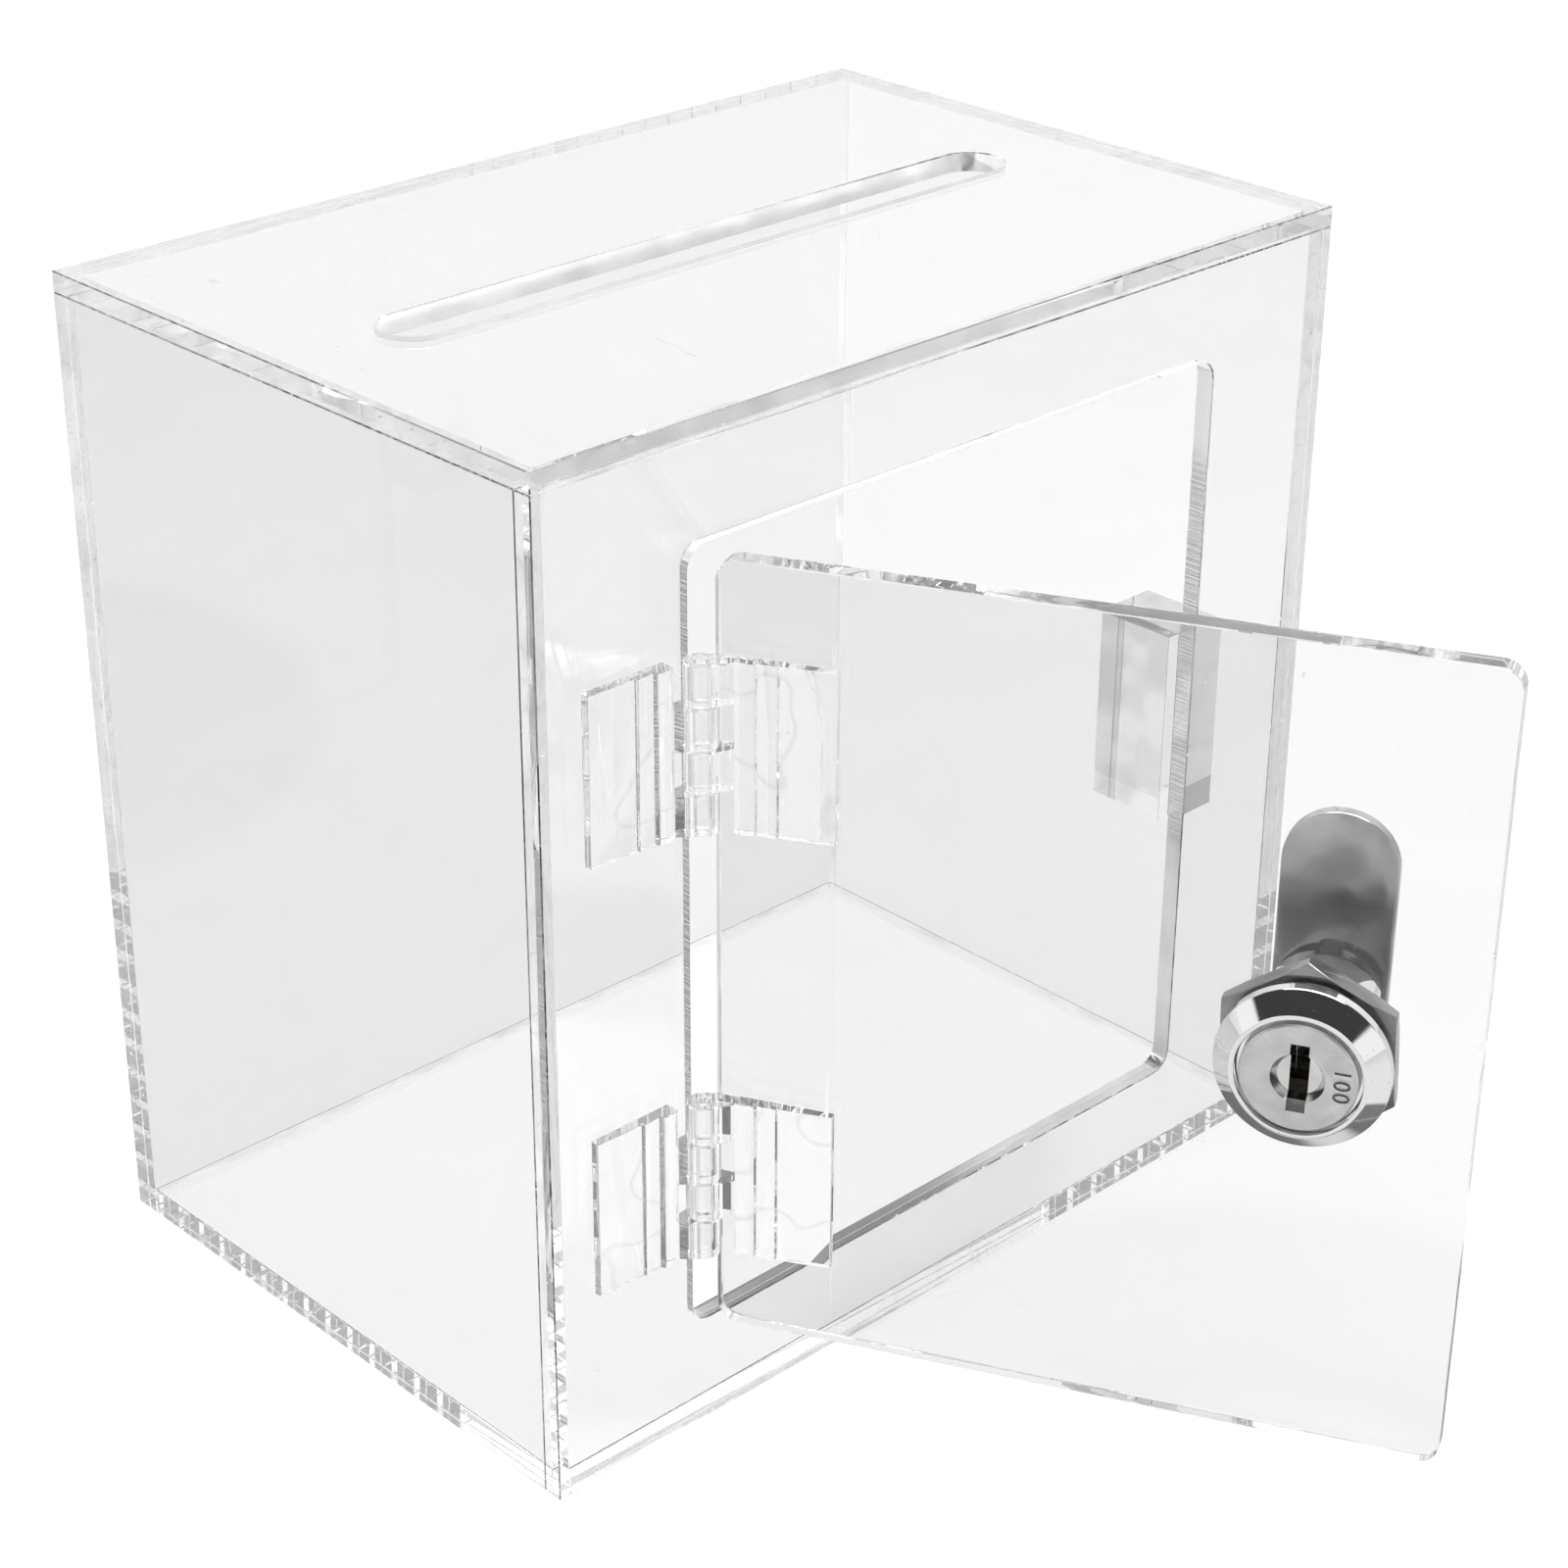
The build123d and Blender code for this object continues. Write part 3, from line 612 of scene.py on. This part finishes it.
def detailed_metal(node, bevel, lift=None, engrave=None):
    """A metal part with broken corners. Lift moves the face at one depth off the clear sheet."""
    bm = cad_shape(node)
    if lift is not None:
        level, direction = lift
        for vert in bm.verts:
            if abs((vert.co - LOCK_CENTRE).dot(OUTWARD) - level) < SAME_LEVEL:
                vert.co += direction * CLEAR_OF_SHEET
    piece = finish_piece(node + "_metal", bm, [METALS[SLOT_OF[node]]], node, PART_SMOOTH)
    if engrave is not None:
        cut = piece.modifiers.new("engraving", "BOOLEAN")
        cut.object = engrave
        cut.operation = "DIFFERENCE"
        cut.solver = "EXACT"
        cut.material_mode = "TRANSFER"
    if bevel:
        round_off = piece.modifiers.new("broken_corners", "BEVEL")
        round_off.width = bevel
        round_off.segments = 2
        round_off.limit_method = "ANGLE"
        round_off.angle_limit = METAL_CORNER_ANGLE
    freeze(piece)


def number_cutter():
    """The generic number's digits as a solid that sinks into the plug's face beside the keyway."""
    curve = bpy.data.curves.new("number", "FONT")
    curve.body = NUMBER_TEXT
    curve.size = NUMBER_HEIGHT / CAPITAL_SHARE
    curve.align_x = "CENTER"
    curve.align_y = "CENTER"
    curve.extrude = NUMBER_DEPTH
    curve.offset = 0.012 * NUMBER_HEIGHT
    curve.space_character = 1.15
    digits = bpy.data.objects.new("number", curve)
    bpy.context.scene.collection.objects.link(digits)
    place = LOCK_CENTRE + OUTWARD * PLUG_FACE + ALONG_DOOR * NUMBER_OFFSET
    turn = Matrix((-Z, ALONG_DOOR, OUTWARD)).transposed().to_4x4()
    digits.matrix_world = Matrix.Translation(place) @ turn
    bpy.context.view_layer.update()
    graph = bpy.context.evaluated_depsgraph_get()
    mesh = bpy.data.meshes.new_from_object(digits.evaluated_get(graph))
    mesh.transform(digits.matrix_world)
    bpy.data.objects.remove(digits)
    bpy.data.curves.remove(curve)
    mesh.materials.clear()
    mesh.materials.append(NUMBER)
    cutter = bpy.data.objects.new("number_cutter", mesh)
    bpy.context.scene.collection.objects.link(cutter)
    return cutter


detailed_metal("lock_housing", 0.12 * MM, lift=(0.0, OUTWARD))
detailed_metal("lock_nut", 0.12 * MM, lift=(SHEET_BACK, INWARD))
number = number_cutter()
detailed_metal("lock_plug", 0.04 * MM, engrave=number)
bpy.data.objects.remove(number)
for name, bevel in (("stop_washer", 0.05), ("lock_cam", 0.0), ("spring_washer", 0.06), ("cam_screw", 0.06)):
    detailed_metal(name, bevel * MM)
for name in ("wafer_tumblers", "wafer_springs"):
    NODES[name].data.materials.clear()
    NODES[name].data.materials.append(METALS[SLOT_OF[name]])


# ---------------------------------------------------------------- floor

FLOOR_RADIUS = 9.0
FLOOR_DROP = 0.25 * MM
RING_INSIDE = (28 * MM, 36 * MM)
RING_OUTSIDE = (74 * MM, 84 * MM)
FLOOR_REFLECTED = 0.66
RING_REFLECTED = 0.16


def floor_material():
    """Pale floor. Reflections see it dimmer, with a dark ring round the lock's foot, as if unlit there."""
    made, tree, place = start_material("pale_floor")
    paper = tree.ramp(tree.noise(place, 40 * MM, detail=3.0), 0.3, 0.7)
    seen = tree.colour_mix(paper, grey(0.86), grey(0.875))
    radius = tree.distance(place, (LOCK_CENTRE.x, LOCK_CENTRE.y, 0.0))
    inside = tree.ramp(radius, *RING_INSIDE)
    outside = tree.ramp(radius, *RING_OUTSIDE, 1.0, 0.0)
    ring = tree.math("MULTIPLY", inside, outside)
    mirrored = tree.colour_mix(ring, grey(FLOOR_REFLECTED), grey(RING_REFLECTED))
    in_reflection = tree.ramp(tree.add("LightPath").outputs["Glossy Depth"], 0.0, 1.0)
    colour = tree.colour_mix(in_reflection, seen, mirrored)
    tree.surface(tree.add("BsdfDiffuse", {"Color": colour}).outputs[0])
    return made


def make_floor():
    mesh = bpy.data.meshes.new("floor")
    disc = bmesh.new()
    bmesh.ops.create_circle(disc, cap_ends=True, segments=96, radius=FLOOR_RADIUS)
    disc.to_mesh(mesh)
    disc.free()
    mesh.materials.append(floor_material())
    floor = bpy.data.objects.new("floor", mesh)
    floor.location.z = -FLOOR_DROP
    bpy.context.scene.collection.objects.link(floor)


make_floor()


# ---------------------------------------------------------------- camera

CAMERA_PLACE = Vector((-0.31148, -0.33842, 0.29905))
AZIMUTH, ELEVATION, ROLL = math.radians(-43.94), math.radians(27.0), math.radians(0.34)
FOCAL_LENGTH = 78.86
SENSOR_WIDTH = 36.0

BACK = Vector((
    math.sin(AZIMUTH) * math.cos(ELEVATION),
    -math.cos(AZIMUTH) * math.cos(ELEVATION),
    math.sin(ELEVATION),
))
FAR_SIDE = Vector((-BACK.x, -BACK.y, 0)).normalized()


def make_camera():
    """The camera looks against BACK, with a small roll."""
    level_right = (-BACK).cross(Z).normalized()
    level_up = level_right.cross(-BACK)
    rolled_right = level_right * math.cos(ROLL) + level_up * math.sin(ROLL)
    rolled_up = level_up * math.cos(ROLL) - level_right * math.sin(ROLL)
    data = bpy.data.cameras.new("camera")
    data.lens = FOCAL_LENGTH
    data.sensor_width = SENSOR_WIDTH
    data.clip_start = 0.01
    data.clip_end = 50.0
    camera = bpy.data.objects.new("camera", data)
    turn = Matrix((rolled_right, rolled_up, BACK)).transposed().to_4x4()
    camera.matrix_world = Matrix.Translation(CAMERA_PLACE) @ turn
    bpy.context.scene.collection.objects.link(camera)
    bpy.context.scene.camera = camera


make_camera()


# ---------------------------------------------------------------- light

SKY_ANGLE = math.radians(60)
SKY_POWER = 2.05
SOFTBOX_SIZE = 0.5
SOFTBOX_POWER = 2.2
HAZE = 0.5


def studio_world():
    """White walls low down and on the far side, a dark room above. Rays through plastic see haze."""
    world = bpy.data.worlds.new("studio")
    bpy.context.scene.world = world
    tree = Tree(world)
    direction = tree.add("TexCoord").outputs["Generated"]
    height = tree.dot(direction, Z)
    behind = tree.dot(direction, FAR_SIDE)
    wall_top = tree.ramp(behind, -0.2, 0.6, 0.36, 0.88)
    room = tree.ramp(tree.math("SUBTRACT", height, wall_top), -0.03, 0.05, 1.0, 0.05)
    lifted = tree.ramp(tree.math("MULTIPLY", behind, height), 0.1, 0.35, 1.0, 1.3)
    path = tree.add("LightPath")
    through_plastic = tree.math(
        "GREATER_THAN", path.outputs["Transmission Depth"], path.outputs["Diffuse Depth"]
    )
    unscattered = tree.math("LESS_THAN", path.outputs["Diffuse Depth"], 0.5)
    haze = tree.math("MULTIPLY", tree.math("MULTIPLY", through_plastic, unscattered), HAZE)
    light = tree.math("MAXIMUM", tree.math("MULTIPLY", room, lifted), haze)
    background = tree.add("Background", {"Color": (1, 1, 1, 1), "Strength": light}).outputs[0]
    tree.add("OutputWorld", {"Surface": background})


def hang_lamp(name, data, place, towards):
    """A lamp at place that shines along towards and isn't seen by the camera."""
    lamp = bpy.data.objects.new(name, data)
    lamp.location = place
    lamp.rotation_mode = "QUATERNION"
    lamp.rotation_quaternion = towards.to_track_quat("-Z", "Y")
    lamp.visible_camera = False
    bpy.context.scene.collection.objects.link(lamp)


def overhead_sky():
    """A very wide, very soft light that falls alike on the whole floor."""
    data = bpy.data.lights.new("overhead_sky", "SUN")
    data.angle = SKY_ANGLE
    data.energy = SKY_POWER
    hang_lamp("overhead_sky", data, Vector((0, 0, 0)), Vector((-0.1, -0.1, -1.0)))


def near_softbox():
    """A small square softbox above the door."""
    place, aim = Vector((0.1, -0.3, 0.9)), Vector((0.05, -0.15, 0))
    data = bpy.data.lights.new("near_softbox", "AREA")
    data.shape = "RECTANGLE"
    data.size = data.size_y = SOFTBOX_SIZE
    data.energy = SOFTBOX_POWER
    hang_lamp("near_softbox", data, place, aim - place)


studio_world()
overhead_sky()
near_softbox()

scene = bpy.context.scene
scene.view_settings.view_transform = "Standard"
scene.cycles.max_bounces = 96
scene.cycles.transmission_bounces = 96
scene.cycles.glossy_bounces = 96
scene.cycles.diffuse_bounces = 3
scene.cycles.transparent_max_bounces = 80
scene.cycles.caustics_reflective = False
scene.cycles.caustics_refractive = False
